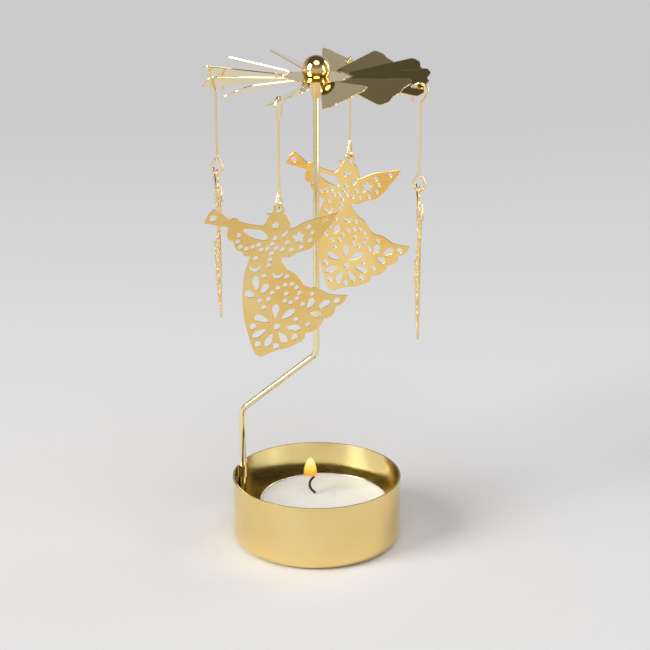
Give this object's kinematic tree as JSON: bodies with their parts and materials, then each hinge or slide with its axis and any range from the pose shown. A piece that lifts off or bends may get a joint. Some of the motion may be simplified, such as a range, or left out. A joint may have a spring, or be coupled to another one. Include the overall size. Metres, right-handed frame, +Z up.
{
  "type": "angel chime carousel",
  "caption": "Tealight carousel: a brass cup with a bent wire mast, and a bladed fan that turns on its point and carries punched sheet angels on wire hangers.",
  "frame": {"origin": "centre of the cup's flat base, on the fan's axis", "axes": "+Z up along the fan's axis, -Y towards the viewer's side, +X to the viewer's right; the mast's foot is on the -X side"},
  "size_m": [0.063, 0.0681, 0.1451],
  "materials": {
    "polished_gold": "polished plated brass",
    "satin_gold": "satin plated brass sheet",
    "tealight_metal": "bright thin pressed sheet",
    "wax": "smooth candle wax",
    "wick": "charred cotton",
    "wick_metal": "tinned stamping"
  },
  "bodies": {
    "stand": {"candle_cup": "polished_gold", "mast": "polished_gold"},
    "rotor": {"fan": "polished_gold", "ball_knob": "polished_gold", "pivot_sleeve": "polished_gold"},
    "hanger_right": {"hanger_right": "polished_gold"},
    "hanger_back": {"hanger_back": "polished_gold"},
    "hanger_left": {"hanger_left": "polished_gold"},
    "hanger_front": {"hanger_front": "polished_gold"},
    "angel_right": {"angel_right": "satin_gold"},
    "angel_back": {"angel_back": "satin_gold"},
    "angel_left": {"angel_left": "satin_gold"},
    "angel_front": {"angel_front": "satin_gold"},
    "tealight": {"tealight_cup": "tealight_metal", "wax": "wax", "wick": "wick", "wick_tab": "wick_metal"}
  },
  "joints": [
    {"name": "fan_spin", "type": "hinge", "parent": "stand", "child": "rotor", "pos_m": [0, 0, 0.139], "axis": [0, 0, 1], "continuous": true},
    {"name": "hanger_right_swing", "type": "hinge", "parent": "rotor", "child": "hanger_right", "pos_m": [0.02827, -0.00973, 0.13699], "axis": [-0.3256, -0.9455, 0], "range_deg": [-10, 20]},
    {"name": "hanger_back_swing", "type": "hinge", "parent": "rotor", "child": "hanger_back", "pos_m": [0.00973, 0.02827, 0.13699], "axis": [0.9455, -0.3256, 0], "range_deg": [-10, 20]},
    {"name": "hanger_left_swing", "type": "hinge", "parent": "rotor", "child": "hanger_left", "pos_m": [-0.02827, 0.00973, 0.13699], "axis": [0.3256, 0.9455, 0], "range_deg": [-10, 20]},
    {"name": "hanger_front_swing", "type": "hinge", "parent": "rotor", "child": "hanger_front", "pos_m": [-0.00973, -0.02827, 0.13699], "axis": [-0.9455, 0.3256, 0], "range_deg": [-10, 20]},
    {"name": "angel_right_swing", "type": "hinge", "parent": "hanger_right", "child": "angel_right", "pos_m": [0.02846, -0.0098, 0.1092], "axis": [1, 0, 0], "range_deg": [-30, 30]},
    {"name": "angel_back_swing", "type": "hinge", "parent": "hanger_back", "child": "angel_back", "pos_m": [0.0098, 0.02846, 0.1092], "axis": [-0.3305, -0.9438, 0], "range_deg": [-30, 30]},
    {"name": "angel_left_swing", "type": "hinge", "parent": "hanger_left", "child": "angel_left", "pos_m": [-0.02846, 0.0098, 0.1092], "axis": [0.9925, 0.1219, 0], "range_deg": [-30, 30]},
    {"name": "angel_front_swing", "type": "hinge", "parent": "hanger_front", "child": "angel_front", "pos_m": [-0.0098, -0.02846, 0.1092], "axis": [0.2062, -0.9785, 0], "range_deg": [-30, 30]},
    {"name": "tealight_lift", "type": "slide", "parent": "stand", "child": "tealight", "axis": [0, 0, 1], "range_m": [0, 0.021]}
  ]
}
